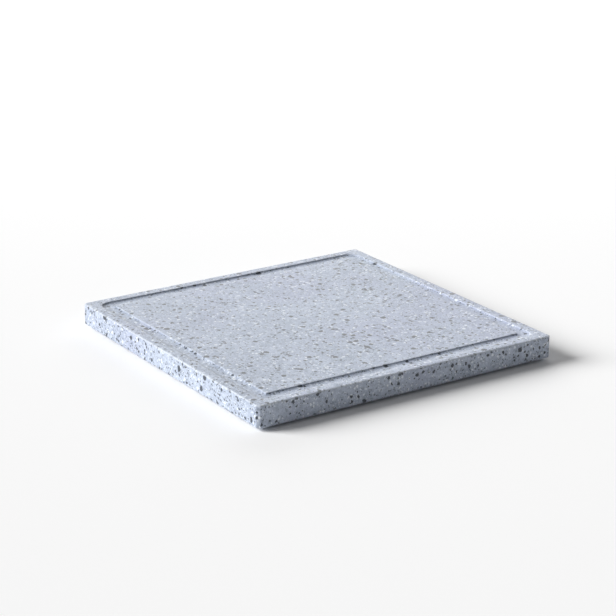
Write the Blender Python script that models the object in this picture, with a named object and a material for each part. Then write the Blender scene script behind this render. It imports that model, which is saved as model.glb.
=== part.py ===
"""A square granite board with a drip groove, standing on four stick-on feet.

The stone is one sawn and ground slab. A shallow round-bottomed groove is routed round its top face, a little way
in from the edge, and leaves a narrow rim outside it and a square working plateau inside it. Under each corner
a disc of double-sided tape holds a thin rubber foot. Units are metres, +Z is up, and the origin is on the
surface that the feet stand on, under the middle of the slab.

Run it with: blender --background --python part.py
"""

import math

import bmesh
import bpy
from mathutils import Matrix, Vector

# Stone
SLAB_WIDTH = 0.300  # along X
SLAB_DEPTH = 0.300  # along Y
SLAB_THICKNESS = 0.020
CORNER_CHAMFER = 0.0025  # flat taken off each upright corner
TOP_ARRIS_RADIUS = 0.0013  # rounding of the top's outer edge
BOTTOM_ARRIS = 0.0010  # flat taken off the bottom's outer edge

# Drip groove
RIM_WIDTH = 0.010  # from the slab's side to the groove's outer edge
GROOVE_WIDTH = 0.011
GROOVE_DEPTH = 0.0017
GROOVE_RUN = 0.0040  # from a wall to where the groove's floor is level

# Feet and the tape that holds them
FOOT_DIAMETER = 0.016
FOOT_THICKNESS = 0.0015
FOOT_EDGE_RADIUS = 0.0004  # rounding of the edge that meets the table
FOOT_INSET = 0.028  # from the slab's sides to a foot's centre
TAPE_THICKNESS = 0.0005
TAPE_MARGIN = 0.0010  # bare rubber round the tape

# Clearance between two pieces that touch
SEAT_GAP = 0.0003

# Worked out from the sizes above
TAPE_DIAMETER = FOOT_DIAMETER - 2 * TAPE_MARGIN
TAPE_BOTTOM = FOOT_THICKNESS + SEAT_GAP
SLAB_BOTTOM = TAPE_BOTTOM + TAPE_THICKNESS + SEAT_GAP
SLAB_TOP = SLAB_BOTTOM + SLAB_THICKNESS
PLATEAU_INSET = RIM_WIDTH + GROOVE_WIDTH
FOOT_REACH_X = SLAB_WIDTH / 2 - FOOT_INSET
FOOT_REACH_Y = SLAB_DEPTH / 2 - FOOT_INSET

# How finely curves are divided
ARRIS_STEPS = 3
COVE_STEPS = 7  # on each side of the groove's section
CORNER_STEPS = 8
DISC_SIDES = 40
FOOT_EDGE_STEPS = 2

# The groove's cutter stands this far above the face it cuts
CUTTER_HEADROOM = 0.002
SHARP_ANGLE = math.radians(30)

# The four corners, in order round the slab seen from above, as signs of X and Y
CORNERS = {
    "front_left": (-1, -1),
    "front_right": (1, -1),
    "back_right": (1, 1),
    "back_left": (-1, 1),
}


def clear_scene():
    """Remove every object that the scene starts with."""
    for obj in list(bpy.data.objects):
        bpy.data.objects.remove(obj, do_unlink=True)


def make_material(name, color, roughness, metallic=0.0):
    """A plain Principled material."""
    material = bpy.data.materials.new(name)
    material.use_nodes = True
    shader = material.node_tree.nodes["Principled BSDF"]
    shader.inputs["Base Color"].default_value = (*color, 1.0)
    shader.inputs["Roughness"].default_value = roughness
    shader.inputs["Metallic"].default_value = metallic
    return material


def new_object(name, bm, material=None):
    """Turn a bmesh into an object with outward faces and one material."""
    bmesh.ops.recalc_face_normals(bm, faces=bm.faces)
    mesh = bpy.data.meshes.new(name)
    bm.to_mesh(mesh)
    bm.free()
    if material:
        mesh.materials.append(material)
    obj = bpy.data.objects.new(name, mesh)
    bpy.context.scene.collection.objects.link(obj)
    return obj


def shade_round(obj):
    """Shade smooth, with edges over SHARP_ANGLE kept sharp."""
    obj.data.shade_smooth()
    obj.data.set_sharp_from_angle(angle=SHARP_ANGLE)


def edges_where(bm, keep):
    """The edges whose two end points both pass the test."""
    return [edge for edge in bm.edges if all(keep(vert.co) for vert in edge.verts)]


def cut_arris(bm, edges, width, steps):
    """Bevel these edges by this width."""
    bmesh.ops.bevel(
        bm,
        geom=edges,
        offset=width,
        offset_type="OFFSET",
        segments=steps,
        profile=0.5,
        affect="EDGES",
        clamp_overlap=True,
    )


def slab_block():
    """The sawn block, with its upright corners cut off and its outer edges eased."""
    bm = bmesh.new()
    size = Vector((SLAB_WIDTH, SLAB_DEPTH, SLAB_THICKNESS))
    middle = Vector((0, 0, SLAB_BOTTOM + SLAB_THICKNESS / 2))
    bmesh.ops.create_cube(bm, size=1.0, matrix=Matrix.Translation(middle) @ Matrix.Diagonal((*size, 1.0)))
    near = SLAB_THICKNESS / 4
    upright = [edge for edge in bm.edges if abs(edge.verts[0].co.z - edge.verts[1].co.z) > near]
    cut_arris(bm, upright, CORNER_CHAMFER, 1)
    cut_arris(bm, edges_where(bm, lambda co: co.z > SLAB_TOP - near), TOP_ARRIS_RADIUS, ARRIS_STEPS)
    cut_arris(bm, edges_where(bm, lambda co: co.z < SLAB_BOTTOM + near), BOTTOM_ARRIS, 1)
    return bm


def cove_section():
    """The cutter's section as (distance out from the plateau's edge, height) pairs.

    Its lower side falls from the plateau's edge along a quarter of an ellipse to the groove's floor, which is
    level over the middle, and rises along another one to the rim.
    """
    run = min(GROOVE_RUN, GROOVE_WIDTH / 2)
    falling = []
    for step in range(COVE_STEPS + 1):
        turn = step / COVE_STEPS * math.pi / 2
        falling.append((run * (1 - math.cos(turn)), SLAB_TOP - GROOVE_DEPTH * math.sin(turn)))
    rising = [(GROOVE_WIDTH - far, height) for far, height in reversed(falling)]
    ceiling = SLAB_TOP + CUTTER_HEADROOM
    return falling + rising + [(GROOVE_WIDTH, ceiling), (0.0, ceiling)]


def plateau_corners():
    """The plateau's four corner points, each with the angle at which its turn starts."""
    x = SLAB_WIDTH / 2 - PLATEAU_INSET
    y = SLAB_DEPTH / 2 - PLATEAU_INSET
    start = math.pi
    for sign_x, sign_y in CORNERS.values():
        yield Vector((sign_x * x, sign_y * y, 0)), start
        start += math.pi / 2


def groove_cutter():
    """The ring that the router cuts away.

    The section keeps its distance from the plateau all the way round, so it turns about each of the plateau's
    corners. That leaves the plateau's corners sharp and rounds the groove's outer ones.
    """
    bm = bmesh.new()
    section = cove_section()
    rings = []
    for corner, start in plateau_corners():
        for step in range(CORNER_STEPS + 1):
            angle = start + step / CORNER_STEPS * math.pi / 2
            out = Vector((math.cos(angle), math.sin(angle), 0))
            rings.append([bm.verts.new(corner + out * far + Vector((0, 0, z))) for far, z in section])
    for ring, following in zip(rings, rings[1:] + rings[:1]):
        for place in range(len(section)):
            after = (place + 1) % len(section)
            bm.faces.new((ring[place], ring[after], following[after], following[place]))
    merge = SEAT_GAP / 100
    bmesh.ops.remove_doubles(bm, verts=bm.verts, dist=merge)
    bmesh.ops.dissolve_degenerate(bm, edges=bm.edges, dist=merge)
    return bm


def make_slab(material):
    """The stone, with its groove cut by the ring."""
    slab = new_object("granite_slab", slab_block(), material)
    cutter = new_object("groove_cutter", groove_cutter())
    cutter.hide_render = True
    cutter.display_type = "WIRE"
    cut = slab.modifiers.new("drip_groove", "BOOLEAN")
    cut.operation = "DIFFERENCE"
    cut.solver = "EXACT"
    cut.object = cutter
    shade_round(slab)
    return slab


def disc(name, diameter, thickness, bottom, material):
    """A flat round disc, centred on its own origin at its bottom face."""
    bm = bmesh.new()
    middle = Matrix.Translation((0, 0, thickness / 2))
    bmesh.ops.create_cone(
        bm,
        cap_ends=True,
        segments=DISC_SIDES,
        radius1=diameter / 2,
        radius2=diameter / 2,
        depth=thickness,
        matrix=middle,
    )
    obj = new_object(name, bm, material)
    obj.location.z = bottom
    return obj


def make_foot(corner, material):
    """One rubber foot, with the edge that meets the table rounded."""
    foot = disc(f"foot_{corner}", FOOT_DIAMETER, FOOT_THICKNESS, 0.0, material)
    bm = bmesh.new()
    bm.from_mesh(foot.data)
    lower = edges_where(bm, lambda co: co.z < FOOT_THICKNESS / 2)
    cut_arris(bm, lower, FOOT_EDGE_RADIUS, FOOT_EDGE_STEPS)
    bm.to_mesh(foot.data)
    bm.free()
    shade_round(foot)
    return foot


def make_tape(corner, material):
    """The disc of double-sided tape between one foot and the stone."""
    tape = disc(f"tape_{corner}", TAPE_DIAMETER, TAPE_THICKNESS, TAPE_BOTTOM, material)
    shade_round(tape)
    return tape


def main():
    clear_scene()
    granite = make_material("granite", (0.56, 0.59, 0.66), 0.62)
    rubber = make_material("rubber", (0.025, 0.026, 0.028), 0.75)
    tape_film = make_material("tape_film", (0.72, 0.72, 0.70), 0.45)
    make_slab(granite)
    for corner, (sign_x, sign_y) in CORNERS.items():
        for piece in (make_foot(corner, rubber), make_tape(corner, tape_film)):
            piece.location.x = sign_x * FOOT_REACH_X
            piece.location.y = sign_y * FOOT_REACH_Y


main()
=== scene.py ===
"""Looks of a square granite board with a drip groove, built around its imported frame.

The stone, its four rubber feet and the tape discs under it are each grown by a Geometry Nodes tree and turned
into plain meshes. The stone's finish is a solid texture: crystals, mica and pale flecks run right through it,
so they meet round every edge. Units are metres and +Z is up.
"""

from __future__ import annotations

import logging
import math
from collections.abc import Sequence
from dataclasses import dataclass
from enum import Enum

import bmesh
import bpy
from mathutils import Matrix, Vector

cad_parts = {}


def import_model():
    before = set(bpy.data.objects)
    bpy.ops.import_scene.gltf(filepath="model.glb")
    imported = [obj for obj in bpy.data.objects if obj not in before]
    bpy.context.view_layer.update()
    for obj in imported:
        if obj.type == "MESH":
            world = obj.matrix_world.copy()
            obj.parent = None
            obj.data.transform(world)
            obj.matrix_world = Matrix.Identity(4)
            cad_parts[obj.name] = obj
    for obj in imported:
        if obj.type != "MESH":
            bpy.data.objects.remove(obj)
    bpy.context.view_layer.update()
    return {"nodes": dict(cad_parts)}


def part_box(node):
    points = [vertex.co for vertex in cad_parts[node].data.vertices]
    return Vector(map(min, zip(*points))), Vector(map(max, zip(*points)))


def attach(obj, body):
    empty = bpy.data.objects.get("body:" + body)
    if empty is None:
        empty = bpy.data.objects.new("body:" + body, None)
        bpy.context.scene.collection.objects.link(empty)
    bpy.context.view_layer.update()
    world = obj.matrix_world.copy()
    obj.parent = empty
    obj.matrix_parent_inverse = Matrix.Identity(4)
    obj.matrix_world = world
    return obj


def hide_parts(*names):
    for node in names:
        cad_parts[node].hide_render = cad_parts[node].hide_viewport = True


LOG = logging.getLogger("granite_board")
BODY = "root"
SLAB_NODE = "granite_slab"
WEAR = "wear"  # the attribute that says how worn each point of the stone is
MM = 0.001
NOISE_RANGE = (0.3, 0.7)  # where nearly all of a noise's values lie

Color = tuple[float, float, float, float]
Socket = bpy.types.NodeSocket
Value = float | int | bool | str | Sequence[float] | Socket | bpy.types.ID


class Slot(Enum):
    """The record's material slots."""

    GRANITE = "granite"
    RUBBER = "rubber"
    TAPE = "tape_film"


class Graph:
    """A node tree being built, geometry or shader, with short ways to add nodes and link them."""

    def __init__(self, tree: bpy.types.NodeTree) -> None:
        """Start on an empty tree.

        Args:
            tree: The tree that every node goes in.
        """
        self.tree = tree

    def feed(self, socket: Socket, value: Value) -> None:
        """Link a socket to another one, or set it.

        Args:
            socket: The input to fill.
            value: An output socket, or a plain value.
        """
        if isinstance(value, bpy.types.NodeSocket):
            self.tree.links.new(value, socket)
        else:
            socket.default_value = value

    def add(self, kind: str, inputs: dict[str | int, Value] | None = None,
            **settings: Value) -> bpy.types.Node:
        """Add a node.

        Args:
            kind: Blender's name for the node's type.
            inputs: What goes in its sockets, by the socket's name or number.
            **settings: The node's own properties.

        Returns:
            The new node.
        """
        node = self.tree.nodes.new(kind)
        for name, value in settings.items():
            setattr(node, name, value)
        for key, value in (inputs or {}).items():
            self.feed(node.inputs[key], value)
        return node

    def math(self, operation: str, *values: Value, clamp: bool = False) -> Socket:
        """Add a Math node.

        Args:
            operation: Its operation.
            *values: Its inputs, in order.
            clamp: Whether its result is held between 0 and 1.

        Returns:
            Its result.
        """
        node = self.add("ShaderNodeMath", dict(enumerate(values)), operation=operation, use_clamp=clamp)
        return node.outputs[0]

    def vector(self, operation: str, *values: Value, scale: Value | None = None) -> Socket:
        """Add a Vector Math node.

        Args:
            operation: Its operation.
            *values: Its inputs, in order.
            scale: The factor of a SCALE operation.

        Returns:
            Its vector.
        """
        node = self.add("ShaderNodeVectorMath", dict(enumerate(values)), operation=operation)
        if scale is not None:
            self.feed(node.inputs["Scale"], scale)
        return node.outputs["Vector"]

    def count(self, value: Value, size: Value) -> Socket:
        """How often a size goes whole into a whole number. The half keeps rounding errors out."""
        return self.math("FLOOR", self.math("DIVIDE", self.math("ADD", value, 0.5), size))

    def combine(self, x: Value = 0.0, y: Value = 0.0, z: Value = 0.0) -> Socket:
        """Join three numbers into a vector."""
        return self.add("ShaderNodeCombineXYZ", {0: x, 1: y, 2: z}).outputs[0]

    def separate(self, vector: Value) -> tuple[Socket, Socket, Socket]:
        """Split a vector into three numbers."""
        return tuple(self.add("ShaderNodeSeparateXYZ", {0: vector}).outputs)

    def span(self, value: Value, low: Value, high: Value, start: Value = 0.0, end: Value = 1.0,
             smooth: bool = False) -> Socket:
        """Map a value from one range to another, clamped.

        Args:
            value: The value to map.
            low: The value that gives start.
            high: The value that gives end.
            start: The result at low.
            end: The result at high.
            smooth: Whether it eases in and out.

        Returns:
            The mapped value.
        """
        kind = "SMOOTHSTEP" if smooth else "LINEAR"
        inputs = {"Value": value, "From Min": low, "From Max": high, "To Min": start, "To Max": end}
        return self.add("ShaderNodeMapRange", inputs, interpolation_type=kind).outputs["Result"]

    def ladder(self, value: Value, rungs: Sequence[tuple[Value, Value]]) -> Socket:
        """A broken line through points, level before the first and after the last.

        Args:
            value: Where to read the line.
            rungs: The line's (place, height) points, in order.

        Returns:
            The line's height.
        """
        total = rungs[0][1]
        for (low, start), (high, end) in zip(rungs, rungs[1:]):
            rise = self.math("SUBTRACT", end, start)
            total = self.math("ADD", total, self.span(value, low, high, 0.0, rise))
        return total

    def mix(self, factor: Value, first: Value, second: Value) -> Socket:
        """Blend two numbers."""
        return self.add("ShaderNodeMix", {0: factor, 2: first, 3: second}, data_type="FLOAT").outputs[0]

    def blend(self, factor: Value, first: Value, second: Value) -> Socket:
        """Blend two colours."""
        return self.add("ShaderNodeMix", {0: factor, 6: first, 7: second}, data_type="RGBA").outputs[2]

    def noise(self, vector: Value, scale: Value, detail: float = 2.0,
              roughness: float = 0.5) -> tuple[Socket, Socket]:
        """Add a Noise Texture in three dimensions.

        Args:
            vector: Where to read it.
            scale: How fine it is.
            detail: How many finer layers it has.
            roughness: How strong those are.

        Returns:
            Its value, from 0 to 1, and its colour.
        """
        inputs = {"Vector": vector, "Scale": scale, "Detail": detail, "Roughness": roughness}
        return tuple(self.add("ShaderNodeTexNoise", inputs).outputs)


class ShapeTree(Graph):
    """A Geometry Nodes tree whose named inputs are a piece's sizes."""

    WELD = 0.002 * MM  # points this close become one

    def __init__(self, name: str) -> None:
        """Start a tree.

        Args:
            name: The tree's name.
        """
        super().__init__(bpy.data.node_groups.new(name, "GeometryNodeTree"))
        self.inputs = self.add("NodeGroupInput")
        self.material = self.socket("Material", "NodeSocketMaterial")
        self.tree.interface.new_socket("Geometry", in_out="OUTPUT", socket_type="NodeSocketGeometry")

    def socket(self, name: str, kind: str = "NodeSocketFloat") -> Socket:
        """Add a named input to the tree and return its value."""
        self.tree.interface.new_socket(name, in_out="INPUT", socket_type=kind)
        return self.inputs.outputs[name]

    def sheet(self, stations: int, rows: int) -> tuple[Socket, Socket, Socket]:
        """Add the grid that a rule then bends into shape.

        Args:
            stations: Steps round the piece. The last one comes back to the first.
            rows: Points in its profile.

        Returns:
            The grid, each point's station and each point's row.
        """
        grid = self.add("GeometryNodeMeshGrid", {"Vertices X": stations + 1, "Vertices Y": rows})
        index = self.add("GeometryNodeInputIndex").outputs[0]
        station = self.count(index, rows)
        row = self.math("SUBTRACT", index, self.math("MULTIPLY", station, rows))
        return grid.outputs["Mesh"], station, row

    def move(self, geometry: Socket, position: Value | None = None, offset: Value | None = None) -> Socket:
        """Set or shift the place of every point.

        Args:
            geometry: What to move.
            position: Where each point goes.
            offset: How far each point shifts.

        Returns:
            The moved geometry.
        """
        node = self.add("GeometryNodeSetPosition", {"Geometry": geometry})
        if position is not None:
            self.feed(node.inputs["Position"], position)
        if offset is not None:
            self.feed(node.inputs["Offset"], offset)
        return node.outputs[0]

    def keep(self, geometry: Socket, name: str, value: Value) -> Socket:
        """Store a number on every point, for the material to read.

        Args:
            geometry: What to store it on.
            name: The attribute's name.
            value: The number.

        Returns:
            The geometry with it.
        """
        inputs = {"Geometry": geometry, "Name": name, "Value": value}
        node = self.add("GeometryNodeStoreNamedAttribute", inputs, data_type="FLOAT", domain="POINT")
        return node.outputs[0]

    def finish(self, geometry: Socket) -> None:
        """End the tree: close its seam and poles, realise it and give it its material.

        Args:
            geometry: What the tree has made.
        """
        inputs = {"Geometry": geometry, "Distance": self.WELD}
        welded = self.add("GeometryNodeMergeByDistance", inputs).outputs[0]
        real = self.add("GeometryNodeRealizeInstances", {"Geometry": welded}).outputs[0]
        inputs = {"Geometry": real, "Material": self.material}
        dressed = self.add("GeometryNodeSetMaterial", inputs).outputs[0]
        self.feed(self.add("NodeGroupOutput").inputs["Geometry"], dressed)

    def grow(self, name: str, values: dict[str, Value]) -> bpy.types.Object:
        """Run the tree and keep what it makes as a plain mesh.

        Args:
            name: The new object's name.
            values: The tree's inputs, by name.

        Returns:
            The new object, at the origin, with no modifier.
        """
        obj = bpy.data.objects.new(name, bpy.data.meshes.new(name))
        bpy.context.scene.collection.objects.link(obj)
        modifier = obj.modifiers.new("shape", "NODES")
        modifier.node_group = self.tree
        for item in self.tree.interface.items_tree:
            if item.in_out == "INPUT":
                modifier[item.identifier] = values[item.name]
        graph = bpy.context.evaluated_depsgraph_get()
        mesh = bpy.data.meshes.new_from_object(obj.evaluated_get(graph), depsgraph=graph)
        obj.modifiers.clear()
        obj.data = mesh
        mesh.name = name
        return obj


class ShaderEffect(Graph):
    """A shader node group with named inputs and outputs, shared by the materials that use it."""

    def __init__(self, name: str, inputs: dict[str, float | None], outputs: dict[str, str]) -> None:
        """Start a group.

        Args:
            name: The group's name.
            inputs: Each number's name and its first value. None makes it a vector.
            outputs: Each output's name and its socket type.
        """
        super().__init__(bpy.data.node_groups.new(name, "ShaderNodeTree"))
        for key, value in inputs.items():
            kind = "NodeSocketVector" if value is None else "NodeSocketFloat"
            socket = self.tree.interface.new_socket(key, in_out="INPUT", socket_type=kind)
            if value is not None:
                socket.default_value = value
        for key, kind in outputs.items():
            self.tree.interface.new_socket(key, in_out="OUTPUT", socket_type=kind)
        self.source = self.add("NodeGroupInput").outputs
        self.drain = self.add("NodeGroupOutput").inputs


@dataclass(frozen=True)
class Grains:
    """One kind of grain scattered through a mass."""

    scale: float  # how fine
    share: float  # how many of the places for one are filled
    size: float  # against the room that each has
    softness: float = 0.08  # how wide the edge of each is
    strength: float = 1.0  # how clearly they show


class Effects:
    """The shader groups, each built once."""

    SMALLEST, LARGEST = 0.55, 1.25  # a grain's size against its kind's
    BROAD = 9.0  # how much broader than its grain a relief's waves are

    def __init__(self) -> None:
        """Build them all."""
        self.warp = self._warp()
        self.crystals = self._crystals()
        self.grains = self._grains()
        self.relief = self._relief()

    def use(self, graph: Graph, effect: ShaderEffect, **values: Value) -> dict[str, Socket]:
        """Place a group in a material.

        Args:
            graph: The material's tree.
            effect: The group.
            **values: Its inputs, by name.

        Returns:
            Its outputs, by name.
        """
        node = graph.add("ShaderNodeGroup", node_tree=effect.tree)
        for key, value in values.items():
            graph.feed(node.inputs[key], value)
        return {socket.name: socket for socket in node.outputs}

    def scatter(self, graph: Graph, vector: Value, kind: Grains) -> Socket:
        """Scatter one kind of grain.

        Args:
            graph: The material's tree.
            vector: The position that the grains follow.
            kind: The grains.

        Returns:
            A mask, as strong on the grains as they show.
        """
        sizes = {"Scale": kind.scale, "Share": kind.share, "Size": kind.size, "Softness": kind.softness}
        mask = self.use(graph, self.grains, Vector=vector, **sizes)["Mask"]
        return graph.math("MULTIPLY", mask, kind.strength)

    def _warp(self) -> ShaderEffect:
        """Shake a position, so that what is drawn from it gets ragged edges.

        Returns:
            The group.
        """
        group = ShaderEffect("ragged_position", {"Vector": None, "Scale": 900.0, "Amount": 0.0005},
                             {"Vector": "NodeSocketVector"})
        _, color = group.noise(group.source["Vector"], group.source["Scale"])
        centred = group.vector("SUBTRACT", color, (0.5, 0.5, 0.5))
        shake = group.vector("SCALE", centred, scale=group.source["Amount"])
        group.feed(group.drain["Vector"], group.vector("ADD", group.source["Vector"], shake))
        return group

    def _crystals(self) -> ShaderEffect:
        """Interlocking crystals that fill the stone: a random number for each.

        Returns:
            The group.
        """
        group = ShaderEffect("interlocking_crystals", {"Vector": None, "Scale": 700.0},
                             {"Tone": "NodeSocketFloat"})
        source = group.source
        cells = group.add("ShaderNodeTexVoronoi", {"Vector": source["Vector"], "Scale": source["Scale"]})
        tone, _, _ = group.separate(cells.outputs["Color"])
        group.feed(group.drain["Tone"], tone)
        return group

    def _grains(self) -> ShaderEffect:
        """Separate grains scattered through a mass, such as mica in stone or dust on rubber.

        Returns:
            The group.
        """
        group = ShaderEffect("scattered_grains",
                             {"Vector": None, "Scale": 300.0, "Share": 0.3, "Size": 0.35, "Softness": 0.08},
                             {"Mask": "NodeSocketFloat"})
        source = group.source
        cells = group.add("ShaderNodeTexVoronoi", {"Vector": source["Vector"], "Scale": source["Scale"]})
        chosen, growth, _ = group.separate(cells.outputs["Color"])
        present = group.math("LESS_THAN", chosen, source["Share"])
        grown = group.span(growth, 0.0, 1.0, self.SMALLEST, self.LARGEST)
        reach = group.math("MULTIPLY", source["Size"], grown)
        inner = group.math("SUBTRACT", reach, source["Softness"])
        inside = group.span(cells.outputs["Distance"], inner, reach, 1.0, 0.0, smooth=True)
        group.feed(group.drain["Mask"], group.math("MULTIPLY", present, inside))
        return group

    def _relief(self) -> ShaderEffect:
        """Fine unevenness of a ground or moulded face, from 0 to 1.

        Returns:
            The group.
        """
        group = ShaderEffect("fine_relief", {"Vector": None, "Scale": 1500.0, "Waves": 0.3},
                             {"Height": "NodeSocketFloat"})
        vector, scale = group.source["Vector"], group.source["Scale"]
        fine, _ = group.noise(vector, scale, detail=3.0, roughness=0.6)
        broad, _ = group.noise(vector, group.math("DIVIDE", scale, self.BROAD))
        group.feed(group.drain["Height"], group.mix(group.source["Waves"], fine, broad))
        return group


class Material(Graph):
    """A material under construction: its tree, its shader and the point being shaded."""

    def __init__(self, name: str) -> None:
        """Start a material.

        Args:
            name: Its name.
        """
        self.data = bpy.data.materials.new(name)
        self.data.use_nodes = True
        super().__init__(self.data.node_tree)
        self.shader = self.tree.nodes["Principled BSDF"]
        self.point = self.add("ShaderNodeTexCoord").outputs["Object"]

    def set(self, **values: Value) -> None:
        """Fill the shader's sockets, named with underscores for spaces."""
        for key, value in values.items():
            self.feed(self.shader.inputs[key.replace("_", " ")], value)

    def bump(self, height: Value, depth: float) -> None:
        """Raise the surface by a height from 0 to 1 times this depth."""
        node = self.add("ShaderNodeBump", {"Height": height, "Distance": depth, "Strength": 1.0})
        self.set(Normal=node.outputs["Normal"])


@dataclass(frozen=True)
class GraniteFinish:
    """Honed pale granite: a blue-grey ground of feldspar and quartz, black mica, and white flecks."""

    ground_low: Color = (0.305, 0.352, 0.445, 1.0)
    ground_high: Color = (0.545, 0.605, 0.715, 1.0)
    mica: Color = (0.018, 0.024, 0.036, 1.0)
    smoke: Color = (0.14, 0.17, 0.22, 1.0)
    white: Color = (0.80, 0.84, 0.89, 1.0)
    violet: Color = (0.36, 0.385, 0.53, 1.0)
    shakes: tuple[tuple[float, float], ...] = ((320.0, 3.0 * MM), (1100.0, 0.9 * MM))  # scale and amount
    coarse_scale: float = 430.0
    fine_scale: float = 1050.0
    fine_weight: float = 0.40
    cloud_scale: float = 24.0
    cloud_depth: float = 0.12  # how far the broad clouds lighten and darken the ground
    drift_scale: float = 11.0
    drift_band: tuple[float, float] = (0.45, 0.7)  # of the noise, from no violet to the most
    drift_depth: float = 0.35  # how far broad patches turn violet
    flecks: tuple[Grains, ...] = (
        Grains(330.0, 0.28, 0.46, 0.14, 0.80),
        Grains(700.0, 0.26, 0.44, 0.14, 0.70),
    )
    smoky: Grains = Grains(290.0, 0.30, 0.44, 0.18, 0.50)
    flakes: tuple[Grains, ...] = (
        Grains(165.0, 0.12, 0.42, 0.10),
        Grains(300.0, 0.20, 0.44, 0.10),
        Grains(620.0, 0.18, 0.42, 0.10),
    )
    flake_cover: float = 0.92
    bruising: float = 0.45  # how far the worn edges pale towards white
    roughness: float = 0.50
    flake_roughness: float = 0.36
    roughness_swing: float = 0.06
    specular: float = 0.45
    relief_scale: float = 1800.0
    relief: float = 0.06 * MM
    pitting: float = 0.5  # how far the mica lies below the ground, against the relief

    def build(self, effects: Effects) -> bpy.types.Material:
        """Make the material.

        Args:
            effects: The shared shader groups.

        Returns:
            The finished material.
        """
        stone = Material("honed_granite")
        ragged = stone.point
        for scale, amount in self.shakes:
            ragged = effects.use(stone, effects.warp, Vector=ragged, Scale=scale, Amount=amount)["Vector"]
        color, dark = self._color(stone, effects, ragged)
        relief = effects.use(stone, effects.relief, Vector=stone.point, Scale=self.relief_scale, Waves=0.35)
        height = relief["Height"]
        swing = stone.span(height, *NOISE_RANGE, -self.roughness_swing, self.roughness_swing)
        rough = stone.math("ADD", stone.mix(dark, self.roughness, self.flake_roughness), swing)
        stone.set(Base_Color=color, Roughness=rough, Specular_IOR_Level=self.specular)
        stone.bump(stone.math("SUBTRACT", height, stone.math("MULTIPLY", dark, self.pitting)), self.relief)
        return stone.data

    def _color(self, stone: Material, effects: Effects, ragged: Socket) -> tuple[Socket, Socket]:
        """Lay the stone's minerals over each other.

        Args:
            stone: The material.
            effects: The shared shader groups.
            ragged: The shaken position that crystal edges follow.

        Returns:
            The colour, and a mask of the dark minerals.
        """
        coarse = effects.use(stone, effects.crystals, Vector=ragged, Scale=self.coarse_scale)["Tone"]
        fine = effects.use(stone, effects.crystals, Vector=ragged, Scale=self.fine_scale)["Tone"]
        tone = stone.mix(self.fine_weight, coarse, fine)
        cloud, _ = stone.noise(stone.point, self.cloud_scale, detail=3.0)
        shade = stone.span(cloud, *NOISE_RANGE, -self.cloud_depth, self.cloud_depth)
        color = stone.blend(stone.math("ADD", tone, shade, clamp=True), self.ground_low, self.ground_high)
        drift, _ = stone.noise(stone.point, self.drift_scale, detail=1.0)
        patches = stone.span(drift, *self.drift_band, 0.0, self.drift_depth, smooth=True)
        color = stone.blend(patches, color, self.violet)
        layers = [(kind, self.white) for kind in self.flecks] + [(self.smoky, self.smoke)]
        for kind, tint in layers:
            color = stone.blend(effects.scatter(stone, ragged, kind), color, tint)
        dark: Value = 0.0
        for kind in self.flakes:
            dark = stone.math("MAXIMUM", dark, effects.scatter(stone, ragged, kind))
        color = stone.blend(stone.math("MULTIPLY", dark, self.flake_cover), color, self.mica)
        worn = stone.add("ShaderNodeAttribute", attribute_name=WEAR).outputs["Fac"]
        return stone.blend(stone.math("MULTIPLY", worn, self.bruising), color, self.white), dark


@dataclass(frozen=True)
class RubberFinish:
    """Matt black rubber with a little dust on it."""

    color: Color = (0.022, 0.023, 0.025, 1.0)
    dust: Color = (0.16, 0.16, 0.155, 1.0)
    specks: Grains = Grains(1600.0, 0.18, 0.3, strength=0.5)
    haze_scale: float = 260.0
    haze_band: tuple[float, float] = (0.45, 0.8)  # of the noise, from clean to the dustiest
    haze_depth: float = 0.35
    roughness: tuple[float, float] = (0.68, 0.84)
    specular: float = 0.35
    relief_scale: float = 2600.0
    relief: float = 0.04 * MM

    def build(self, effects: Effects) -> bpy.types.Material:
        """Make the material.

        Args:
            effects: The shared shader groups.

        Returns:
            The finished material.
        """
        rubber = Material("matt_rubber")
        specks = effects.scatter(rubber, rubber.point, self.specks)
        haze, _ = rubber.noise(rubber.point, self.haze_scale, detail=4.0)
        dusty = rubber.math("MAXIMUM", rubber.span(haze, *self.haze_band, 0.0, self.haze_depth), specks)
        relief = effects.use(rubber, effects.relief, Vector=rubber.point, Scale=self.relief_scale, Waves=0.2)
        height = relief["Height"]
        rubber.set(Base_Color=rubber.blend(dusty, self.color, self.dust), Specular_IOR_Level=self.specular)
        rubber.set(Roughness=rubber.span(height, *NOISE_RANGE, *self.roughness))
        rubber.bump(height, self.relief)
        return rubber.data


@dataclass(frozen=True)
class TapeFinish:
    """Milky acrylic foam tape."""

    color: Color = (0.70, 0.71, 0.70, 1.0)
    bubble: Color = (0.45, 0.46, 0.46, 1.0)
    bubbles: Grains = Grains(2600.0, 0.5, 0.4, strength=0.3)
    roughness: tuple[float, float] = (0.42, 0.6)
    relief_scale: float = 3200.0
    relief: float = 0.03 * MM

    def build(self, effects: Effects) -> bpy.types.Material:
        """Make the material.

        Args:
            effects: The shared shader groups.

        Returns:
            The finished material.
        """
        tape = Material("foam_tape")
        bubbles = effects.scatter(tape, tape.point, self.bubbles)
        height = effects.use(tape, effects.relief, Vector=tape.point, Scale=self.relief_scale)["Height"]
        tape.set(Base_Color=tape.blend(bubbles, self.color, self.bubble))
        tape.set(Roughness=tape.span(height, *NOISE_RANGE, *self.roughness))
        tape.bump(height, self.relief)
        return tape.data


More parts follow.
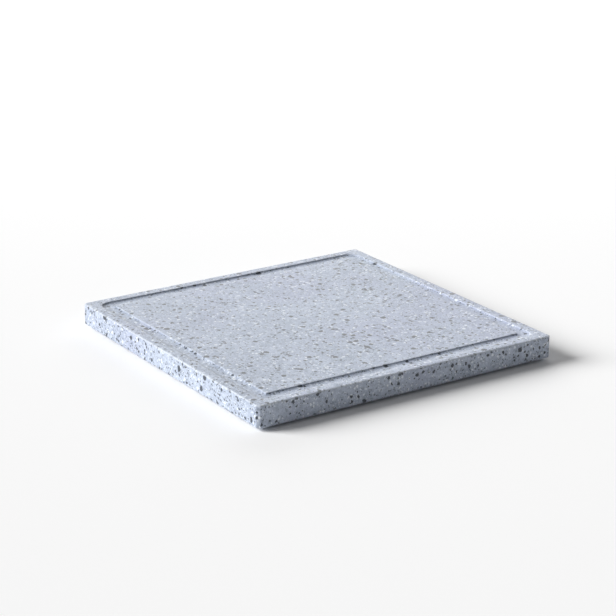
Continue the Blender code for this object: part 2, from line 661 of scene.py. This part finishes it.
@dataclass(frozen=True)
class StoneSlab:
    """The stone: a sawn, ground slab with a shallow round-bottomed groove routed round its top."""

    rim: float = 10.0 * MM
    groove_width: float = 11.0 * MM
    groove_depth: float = 1.7 * MM
    groove_run: float = 4.0 * MM  # from a wall to where the groove's floor is level
    corner_flat: float = 2.5 * MM
    top_arris: float = 1.3 * MM
    bottom_arris: float = 1.0 * MM
    easing: float = 0.25 * MM  # how far the groove's edges are rounded over
    lip: float = 2.0 * MM  # flat band inside the groove and under the slab, before the plain middle
    wear: float = 0.10 * MM
    wear_scale: float = 420.0
    wear_band: tuple[float, float] = (0.3, 0.75)  # of the noise, from no wear to the deepest
    groove_wear: float = 0.8  # of the groove's edges, against 1 on the slab's
    chip: float = 0.45 * MM
    chip_scale: float = 170.0
    chip_band: tuple[float, float] = (0.64, 0.76)  # of the noise, from no chip to the deepest
    side_steps: int = 400  # round each side
    corner_steps: int = 12  # of those, close together at each end
    corner_band: float = 4.0 * MM
    lip_rows: int = 1
    easing_rows: int = 3  # this and the next two are from one of the groove's edges to its middle
    cove_rows: int = 9
    floor_rows: int = 2
    rim_rows: int = 4
    arris_rows: int = 6
    face_rows: int = 10
    face_margin: float = 0.05  # of the side's height, from each of its edges to the next row
    foot_rows: int = 3

    def build(self, finish: bpy.types.Material) -> bpy.types.Object:
        """Grow the stone in the place of its node.

        Args:
            finish: The stone's material.

        Returns:
            The finished piece.
        """
        low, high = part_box(SLAB_NODE)
        values = {
            "Material": finish,
            "Width": high.x - low.x,
            "Depth": high.y - low.y,
            "Underside": low.z,
            "Top": high.z,
            "Rim": self.rim,
            "Groove Width": self.groove_width,
            "Groove Depth": self.groove_depth,
            "Groove Run": self.groove_run,
            "Corner Flat": self.corner_flat,
            "Top Arris": self.top_arris,
            "Bottom Arris": self.bottom_arris,
            "Wear": self.wear,
            "Chip": self.chip,
        }
        slab = self._tree().grow("stone", values)
        self._close(slab.data)
        return slab

    def _rows(self) -> dict[str, int]:
        """Number the profile's rows, from the plateau round to the underside.

        Returns:
            The row at which each stretch ends.
        """
        counts = {
            "lip": self.lip_rows,
            "groove": 2 * (self.easing_rows + self.cove_rows + self.floor_rows),
            "rim": self.rim_rows,
            "arris": self.arris_rows,
            "face": self.face_rows,
            "foot": self.foot_rows,
            "under": self.lip_rows,
        }
        ends, row = {}, 0
        for stretch, count in counts.items():
            row += count
            ends[stretch] = row
        return ends

    def _outline(self, tree: ShapeTree, station: Socket, width: Socket, depth: Socket) -> Socket:
        """The point of the slab's square outline at each station.

        Args:
            tree: The tree being built.
            station: The station's number, clockwise from the front right corner.
            width: The slab's size along X.
            depth: The slab's size along Y.

        Returns:
            The outline's point.
        """
        side = tree.count(station, self.side_steps)
        step = tree.math("SUBTRACT", station, tree.math("MULTIPLY", side, self.side_steps))
        odd = tree.math("MODULO", side, 2.0)
        length, across = tree.mix(odd, width, depth), tree.mix(odd, depth, width)
        middle = self.side_steps / 2
        from_end = tree.math("MINIMUM", step, tree.math("SUBTRACT", self.side_steps, step))
        half = tree.math("MULTIPLY", length, 0.5)
        place = tree.ladder(from_end, [(0.0, 0.0), (self.corner_steps, self.corner_band), (middle, half)])
        before = tree.math("SUBTRACT", place, half)
        sign = tree.math("SIGN", tree.math("SUBTRACT", middle - 0.5, step))
        along = tree.math("MULTIPLY", before, sign)
        turn = tree.math("MULTIPLY", side, math.pi / 2)
        cosine, sine = tree.math("COSINE", turn), tree.math("SINE", turn)
        forward = tree.vector("SCALE", tree.combine(tree.math("MULTIPLY", cosine, -1.0), sine), scale=along)
        back = tree.combine(sine, cosine)
        outward = tree.vector("SCALE", back, scale=tree.math("MULTIPLY", across, -0.5))
        return tree.vector("ADD", forward, outward)

    def _clamped(self, tree: ShapeTree, point: Socket, reach: Socket) -> Socket:
        """The point of a rectangle of this half size that is nearest to a point."""
        least = tree.vector("SCALE", reach, scale=-1.0)
        return tree.vector("MAXIMUM", tree.vector("MINIMUM", point, reach), least)

    def _cove(self, tree: ShapeTree, step: Socket, width: Socket, depth: Socket,
              run: Socket) -> tuple[Socket, Socket]:
        """Half of the groove's section: over its eased edge, then round a quarter ellipse to its level floor.

        Args:
            tree: The tree being built.
            step: Rows in from the groove's nearer edge.
            width: The groove's width.
            depth: The groove's depth.
            run: The distance from a wall to where the floor is level.

        Returns:
            The distance in from that edge, and the drop below the flat.
        """
        over = self.easing_rows
        foot = over + self.cove_rows
        middle = foot + self.floor_rows
        first = tree.ladder(step, [(0.0, 0.0), (over, math.pi / 2)])
        second = tree.ladder(step, [(over, 0.0), (foot, math.pi / 2)])
        level = tree.math("SUBTRACT", tree.math("MULTIPLY", width, 0.5), run)
        distance = tree.math("MULTIPLY", self.easing, tree.math("SUBTRACT", tree.math("SINE", first), 1.0))
        turned = tree.math("MULTIPLY", run, tree.math("SUBTRACT", 1.0, tree.math("COSINE", second)))
        distance = tree.math("ADD", distance, turned)
        distance = tree.math("ADD", distance, tree.ladder(step, [(foot, 0.0), (middle, level)]))
        drop = tree.math("MULTIPLY", self.easing, tree.math("SUBTRACT", 1.0, tree.math("COSINE", first)))
        fall = tree.math("MULTIPLY", tree.math("SUBTRACT", depth, self.easing), tree.math("SINE", second))
        return distance, tree.math("ADD", drop, fall)

    def _tree(self) -> ShapeTree:
        """The rule that makes the stone.

        Every station looks out from the plateau to one point of the square outline. Its profile crosses the
        groove at a constant distance from the plateau, then the rim, and goes down the side to the underside.

        Returns:
            The tree.
        """
        tree = ShapeTree("routed_slab")
        width, depth = tree.socket("Width"), tree.socket("Depth")
        under, top = tree.socket("Underside"), tree.socket("Top")
        rim, groove = tree.socket("Rim"), tree.socket("Groove Width")
        cut, run = tree.socket("Groove Depth"), tree.socket("Groove Run")
        flat = tree.socket("Corner Flat")
        upper, lower = tree.socket("Top Arris"), tree.socket("Bottom Arris")
        wear, chip = tree.socket("Wear"), tree.socket("Chip")
        end = self._rows()
        grid, station, row = tree.sheet(4 * self.side_steps, end["under"] + 1)
        edge = self._outline(tree, station, width, depth)
        inset = tree.math("ADD", rim, groove)
        corner = tree.vector("SCALE", tree.combine(width, depth), scale=0.5)
        plateau = tree.vector("SUBTRACT", corner, tree.combine(inset, inset))
        foot = self._clamped(tree, edge, plateau)
        outward = tree.vector("NORMALIZE", tree.vector("SUBTRACT", edge, foot))

        first, last = end["lip"], end["groove"]
        step = tree.math("MINIMUM", tree.math("SUBTRACT", row, first), tree.math("SUBTRACT", last, row))
        distance, drop = self._cove(tree, step, groove, cut, run)
        beyond = tree.math("GREATER_THAN", row, (first + last) / 2)
        far = tree.mix(beyond, distance, tree.math("SUBTRACT", groove, distance))
        far = tree.math("SUBTRACT", far, tree.ladder(row, [(0.0, self.lip), (first, 0.0)]))
        on_rim = tree.ladder(row, [(end["groove"], 0.0), (end["rim"], 1.0)])
        turned = tree.ladder(row, [(end["rim"], 0.0), (end["arris"], math.pi / 2)])
        margin = self.face_margin
        down = tree.ladder(row, [(end["arris"], 0.0), (end["arris"] + 1, margin),
                                 (end["face"] - 1, 1.0 - margin), (end["face"], 1.0)])
        tucked = tree.ladder(row, [(end["face"], 0.0), (end["foot"], 1.0)])
        under_lip = tree.ladder(row, [(end["foot"], 0.0), (end["under"], self.lip)])

        sine, cosine = tree.math("SINE", turned), tree.math("COSINE", turned)
        shy = tree.math("MULTIPLY", upper, tree.math("SUBTRACT", 1.0, sine))
        shy = tree.math("ADD", shy, tree.math("ADD", tree.math("MULTIPLY", lower, tucked), under_lip))
        reach = self._reach(tree, outward, inset, flat, shy)
        radius = tree.mix(on_rim, tree.math("MAXIMUM", far, 0.0), reach)
        inner = tree.math("MAXIMUM", tree.math("MULTIPLY", far, -1.0), 0.0)
        start = self._clamped(tree, edge, tree.vector("SUBTRACT", plateau, tree.combine(inner, inner)))
        plan = tree.vector("ADD", start, tree.vector("SCALE", outward, scale=radius))

        face = tree.math("SUBTRACT", tree.math("SUBTRACT", top, under), tree.math("ADD", upper, lower))
        falls = (
            drop,
            tree.math("MULTIPLY", upper, tree.math("SUBTRACT", 1.0, cosine)),
            tree.math("MULTIPLY", face, down),
            tree.math("MULTIPLY", lower, tucked),
        )
        height = top
        for fall in falls:
            height = tree.math("SUBTRACT", height, fall)
        placed = tree.move(grid, position=tree.vector("ADD", plan, tree.combine(0.0, 0.0, height)))
        mask = self._wear_mask(tree, step, turned, tucked)
        worn = tree.move(placed, offset=self._worn(tree, mask, wear, chip))
        tree.finish(tree.keep(worn, WEAR, mask))
        return tree

    def _reach(self, tree: ShapeTree, outward: Socket, inset: Socket, flat: Socket, shy: Socket) -> Socket:
        """How far a station's ray runs to the outline with its corners cut off, drawn in by shy.

        Args:
            tree: The tree being built.
            outward: The ray's direction.
            inset: The plateau's distance from the slab's sides.
            flat: How much of each side the corner flat takes.
            shy: How far inside the outline to stop.

        Returns:
            The ray's length.
        """
        least = 1e-4  # stands in for 0 where a ray runs along the other axis
        x, y, _ = tree.separate(tree.vector("ABSOLUTE", outward))
        side = tree.math("SUBTRACT", inset, shy)
        by_x = tree.math("DIVIDE", side, tree.math("MAXIMUM", x, least))
        by_y = tree.math("DIVIDE", side, tree.math("MAXIMUM", y, least))
        diagonal = tree.math("SUBTRACT", tree.math("MULTIPLY", inset, 2.0), flat)
        diagonal = tree.math("SUBTRACT", diagonal, tree.math("MULTIPLY", shy, math.sqrt(2)))
        by_flat = tree.math("DIVIDE", diagonal, tree.math("ADD", x, y))
        return tree.math("MINIMUM", tree.math("MINIMUM", by_x, by_y), by_flat)

    def _wear_mask(self, tree: ShapeTree, step: Socket, turned: Socket, tucked: Socket) -> Socket:
        """How exposed each row is: 1 on the arrises and the groove's edges, 0 on the flats.

        Args:
            tree: The tree being built.
            step: Rows in from the groove's nearer edge.
            turned: Angle round the top arris.
            tucked: How far along the bottom arris, from 0 to 1.

        Returns:
            The mask.
        """
        over, most = self.easing_rows, self.groove_wear
        groove = tree.ladder(step, [(-1.0, 0.0), (over / 2, most), (over, most), (over + 1.0, 0.0)])
        top = tree.math("SINE", tree.math("MULTIPLY", turned, 2.0))
        bottom = tree.math("SINE", tree.math("MULTIPLY", tucked, math.pi))
        return tree.math("MAXIMUM", tree.math("MAXIMUM", groove, top), bottom, clamp=True)

    def _worn(self, tree: ShapeTree, mask: Socket, wear: Socket, chip: Socket) -> Socket:
        """Stone lost along the edges: a little everywhere, and now and then a chip.

        Args:
            tree: The tree being built.
            mask: How exposed each point is.
            wear: Depth of the even wear.
            chip: Depth of the largest chips.

        Returns:
            How far each point moves.
        """
        position = tree.add("GeometryNodeInputPosition").outputs[0]
        normal = tree.add("GeometryNodeInputNormal").outputs[0]
        even = tree.span(tree.noise(position, self.wear_scale)[0], *self.wear_band)
        chips = tree.span(tree.noise(position, self.chip_scale)[0], *self.chip_band, smooth=True)
        lost = tree.math("ADD", tree.math("MULTIPLY", even, wear), tree.math("MULTIPLY", chips, chip))
        inward = tree.vector("SCALE", normal, scale=-1.0)
        return tree.vector("SCALE", inward, scale=tree.math("MULTIPLY", lost, mask))

    def _close(self, mesh: bpy.types.Mesh) -> None:
        """Fill the plateau and the underside, and shade the stone smooth.

        Args:
            mesh: The stone's mesh.
        """
        bm = bmesh.new()
        bm.from_mesh(mesh)
        bmesh.ops.holes_fill(bm, edges=[edge for edge in bm.edges if edge.is_boundary], sides=0)
        bmesh.ops.recalc_face_normals(bm, faces=bm.faces)
        bm.to_mesh(mesh)
        bm.free()
        mesh.shade_smooth()


@dataclass(frozen=True)
class Pad:
    """A turned pad under the stone: a rubber foot, or the tape that holds it."""

    edge: float  # rounding of both its edges
    ring_depth: float = 0.0  # of the rings in its lower face
    ring_pitch: float = 1.6 * MM
    wobble: float = 0.0  # how far its cut edge strays inwards
    wobble_scale: float = 2.5
    stations: int = 96
    face_rows: int = 40
    edge_rows: int = 6
    back_rows: int = 2  # over its upper face

    def tree(self) -> ShapeTree:
        """The rule that turns a pad: out along its lower face, round its edge and back over its upper one.

        Returns:
            The tree.
        """
        tree = ShapeTree("turned_pad")
        x, y = tree.socket("Centre X"), tree.socket("Centre Y")
        radius, bottom, top = tree.socket("Radius"), tree.socket("Bottom"), tree.socket("Top")
        edge, deep = tree.socket("Edge Radius"), tree.socket("Ring Depth")
        pitch, wobble, seed = tree.socket("Ring Pitch"), tree.socket("Wobble"), tree.socket("Seed")
        out = self.face_rows
        low = out + self.edge_rows
        high = low + self.edge_rows
        back = high + self.back_rows
        grid, station, row = tree.sheet(self.stations, back + 1)
        turn = tree.math("MULTIPLY", station, 2 * math.pi / self.stations)
        ray = tree.combine(tree.math("COSINE", turn), tree.math("SINE", turn))
        flat = tree.math("SUBTRACT", radius, edge)
        first = tree.ladder(row, [(out, 0.0), (low, math.pi / 2)])
        second = tree.ladder(row, [(low + 1, 0.0), (high, math.pi / 2)])
        reach = tree.ladder(row, [(0.0, 0.0), (out, flat), (high, flat), (back, 0.0)])
        round_edge = tree.math("MULTIPLY", tree.math("SINE", first), tree.math("COSINE", second))
        reach = tree.math("ADD", reach, tree.math("MULTIPLY", edge, round_edge))
        place = tree.vector("ADD", ray, tree.combine(seed, x, y))
        shaken, _ = tree.noise(place, self.wobble_scale, detail=3.0)
        stray = tree.math("MULTIPLY", shaken, wobble)
        stray = tree.math("MULTIPLY", stray, tree.math("DIVIDE", reach, radius))
        reach = tree.math("SUBTRACT", reach, stray)
        rise = tree.math("MULTIPLY", edge, tree.math("SUBTRACT", 1.0, tree.math("COSINE", first)))
        wall = tree.math("SUBTRACT", tree.math("SUBTRACT", top, bottom), tree.math("MULTIPLY", edge, 2.0))
        up_wall = tree.ladder(row, [(low, 0.0), (low + 1, wall)])
        rise = tree.math("ADD", rise, up_wall)
        rise = tree.math("ADD", rise, tree.math("MULTIPLY", edge, tree.math("SINE", second)))
        wave = tree.math("SINE", tree.math("DIVIDE", tree.math("MULTIPLY", reach, 2 * math.pi), pitch))
        on_tread = tree.math("LESS_THAN", row, float(out))
        dent = tree.math("MULTIPLY", tree.math("MAXIMUM", wave, 0.0), tree.math("MULTIPLY", deep, on_tread))
        height = tree.math("ADD", bottom, tree.math("ADD", rise, dent))
        plan = tree.vector("ADD", tree.vector("SCALE", ray, scale=reach), tree.combine(x, y))
        placed = tree.move(grid, position=tree.vector("ADD", plan, tree.combine(0.0, 0.0, height)))
        tree.finish(placed)
        return tree

    def build(self, tree: ShapeTree, name: str, box: tuple[Vector, Vector], finish: bpy.types.Material,
              seed: float) -> bpy.types.Object:
        """Grow one pad.

        Args:
            tree: The pads' tree.
            name: The piece's name.
            box: Its lowest and highest corners.
            finish: Its material.
            seed: A number that makes its edge its own.

        Returns:
            The finished piece.
        """
        low, high = box
        values = {
            "Material": finish,
            "Centre X": (low.x + high.x) / 2,
            "Centre Y": (low.y + high.y) / 2,
            "Radius": (high.x - low.x) / 2,
            "Bottom": low.z,
            "Top": high.z,
            "Edge Radius": self.edge,
            "Ring Depth": self.ring_depth,
            "Ring Pitch": self.ring_pitch,
            "Wobble": self.wobble,
            "Seed": seed,
        }
        pad = tree.grow(name, values)
        bm = bmesh.new()
        bm.from_mesh(pad.data)
        bmesh.ops.recalc_face_normals(bm, faces=bm.faces)
        bm.to_mesh(pad.data)
        bm.free()
        pad.data.shade_smooth()
        return pad


class Board:
    """The whole object: the stone, its feet and their tape."""

    def __init__(self, nodes: Sequence[str]) -> None:
        """Note the frame's nodes.

        Args:
            nodes: The names of the frame's nodes.
        """
        self.feet = sorted(name for name in nodes if name.startswith("foot_"))
        self.tapes = sorted(name for name in nodes if name.startswith("tape_"))

    def build(self, effects: Effects) -> None:
        """Make every piece and put it in the place of its node.

        Args:
            effects: The shared shader groups.
        """
        self._claim(StoneSlab().build(GraniteFinish().build(effects)), SLAB_NODE)
        foot = Pad(edge=0.4 * MM, ring_depth=0.18 * MM)
        tape = Pad(edge=0.2 * MM, wobble=0.5 * MM)
        tree = foot.tree()
        rubber, film = RubberFinish().build(effects), TapeFinish().build(effects)
        stone_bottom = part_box(SLAB_NODE)[0].z
        for seed, (foot_node, tape_node) in enumerate(zip(self.feet, self.tapes)):
            foot_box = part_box(foot_node)
            piece = foot.build(tree, foot_node.replace("foot", "rubber_foot"), foot_box, rubber, seed)
            self._claim(piece, foot_node)
            low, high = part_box(tape_node)
            low.z, high.z = foot_box[1].z, stone_bottom
            piece = tape.build(tree, tape_node.replace("tape", "foam_tape"), (low, high), film, seed)
            self._claim(piece, tape_node)

    def _claim(self, piece: bpy.types.Object, node: str) -> None:
        """Let a piece stand for a node.

        Args:
            piece: The piece.
            node: The frame's node that it replaces.
        """
        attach(piece, BODY)
        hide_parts(node)
        LOG.info("%s: %d faces, for %s", piece.name, len(piece.data.polygons), node)


@dataclass(frozen=True)
class Studio:
    """A pale floor, soft light from behind on the left, and the camera."""

    azimuth: float = -33.22  # degrees round from looking along +Y
    elevation: float = 19.18
    distance: float = 1.811
    lens: float = 118.8
    sensor: float = 36.0
    aim_right: float = -3.55 * MM
    aim_up: float = 27.9 * MM
    aim_height: float = 3.4 * MM  # height of the point that the aim is measured from
    floor_half: float = 6.0  # from the board to the floor's edges
    floor_white: float = 0.99
    fill: float = 0.17  # strength of the even light
    backdrop: float = 0.95  # brightness of what shows past the floor

    def build(self) -> None:
        """Set up the floor, the lights, the camera and the film's response."""
        scene = bpy.context.scene
        scene.view_settings.view_transform = "Standard"
        scene.view_settings.look = "None"
        self._floor()
        self._world(scene)
        self._sun("key", towards=(-1.55, 0.95, 1.0), strength=4.60, spread=34.0)
        self._panel("sheen", azimuth=33.0, elevation=19.0, away=2.8, size=(2.6, 1.2), power=26.0)
        self._camera(scene)

    def _floor(self) -> None:
        """A wide pale floor under the feet."""
        bm = bmesh.new()
        bmesh.ops.create_grid(bm, x_segments=1, y_segments=1, size=self.floor_half)
        mesh = bpy.data.meshes.new("floor")
        bm.to_mesh(mesh)
        bm.free()
        paint = Material("pale_floor")
        paint.set(Base_Color=(*[self.floor_white] * 3, 1.0), Roughness=0.9, Specular_IOR_Level=0.1)
        mesh.materials.append(paint.data)
        floor = bpy.data.objects.new("floor", mesh)
        bpy.context.scene.collection.objects.link(floor)

    def _world(self, scene: bpy.types.Scene) -> None:
        """Even light from all round, dim on the board and white where it shows past the floor.

        Args:
            scene: The scene to light.
        """
        world = bpy.data.worlds.new("studio")
        world.use_nodes = True
        sky = Graph(world.node_tree)
        background = sky.tree.nodes["Background"]
        sky.feed(background.inputs["Color"], (1.0, 1.0, 1.0, 1.0))
        seen = sky.add("ShaderNodeLightPath").outputs["Is Camera Ray"]
        sky.feed(background.inputs["Strength"], sky.mix(seen, self.fill, self.backdrop))
        scene.world = world

    def _sun(self, name: str, towards: Sequence[float], strength: float, spread: float) -> None:
        """A broad distant light that leaves no glare on polished faces.

        Args:
            name: The light's name.
            towards: The direction from the board to the light.
            strength: Its strength.
            spread: How wide it looks, in degrees.
        """
        data = bpy.data.lights.new(name, "SUN")
        data.energy = strength
        data.angle = math.radians(spread)
        light = bpy.data.objects.new(name, data)
        light.rotation_mode = "QUATERNION"
        light.rotation_quaternion = Vector(towards).to_track_quat("Z", "Y")
        light.visible_glossy = False
        bpy.context.scene.collection.objects.link(light)

    def _panel(self, name: str, azimuth: float, elevation: float, away: float, size: tuple[float, float],
               power: float) -> None:
        """A soft box that faces the board.

        Args:
            name: The light's name.
            azimuth: Where it stands, in degrees round from behind the board towards its right.
            elevation: How high it stands above the floor, in degrees.
            away: Its distance.
            size: Its width and height.
            power: Its power in watts.
        """
        turn, tilt = math.radians(azimuth), math.radians(elevation)
        place = Vector((math.sin(turn) * math.cos(tilt), math.cos(turn) * math.cos(tilt), math.sin(tilt)))
        data = bpy.data.lights.new(name, "AREA")
        data.shape, data.energy = "RECTANGLE", power
        data.size, data.size_y = size
        light = bpy.data.objects.new(name, data)
        light.location = place * away
        light.rotation_mode = "QUATERNION"
        light.rotation_quaternion = place.to_track_quat("Z", "Y")
        bpy.context.scene.collection.objects.link(light)

    def _camera(self, scene: bpy.types.Scene) -> None:
        """The camera, in front of the board's near corner and looking down at it.

        Args:
            scene: The scene that looks through it.
        """
        turn, tilt = math.radians(self.azimuth), math.radians(self.elevation)
        forward = Vector((-math.sin(turn) * math.cos(tilt), math.cos(turn) * math.cos(tilt), -math.sin(tilt)))
        right = Vector((math.cos(turn), math.sin(turn), 0.0))
        up = right.cross(forward)
        aim = Vector((0.0, 0.0, self.aim_height)) + right * self.aim_right + up * self.aim_up
        data = bpy.data.cameras.new("camera")
        data.lens, data.sensor_width = self.lens, self.sensor
        camera = bpy.data.objects.new("camera", data)
        camera.rotation_mode = "QUATERNION"
        camera.rotation_quaternion = forward.to_track_quat("-Z", "Y")
        camera.location = aim - forward * self.distance
        scene.collection.objects.link(camera)
        scene.camera = camera


def main() -> None:
    """Load the frame, dress it and light it."""
    logging.basicConfig(level=logging.INFO, format="%(message)s")
    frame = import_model()
    Board(list(frame["nodes"])).build(Effects())
    Studio().build()


if __name__ == "__main__":
    main()
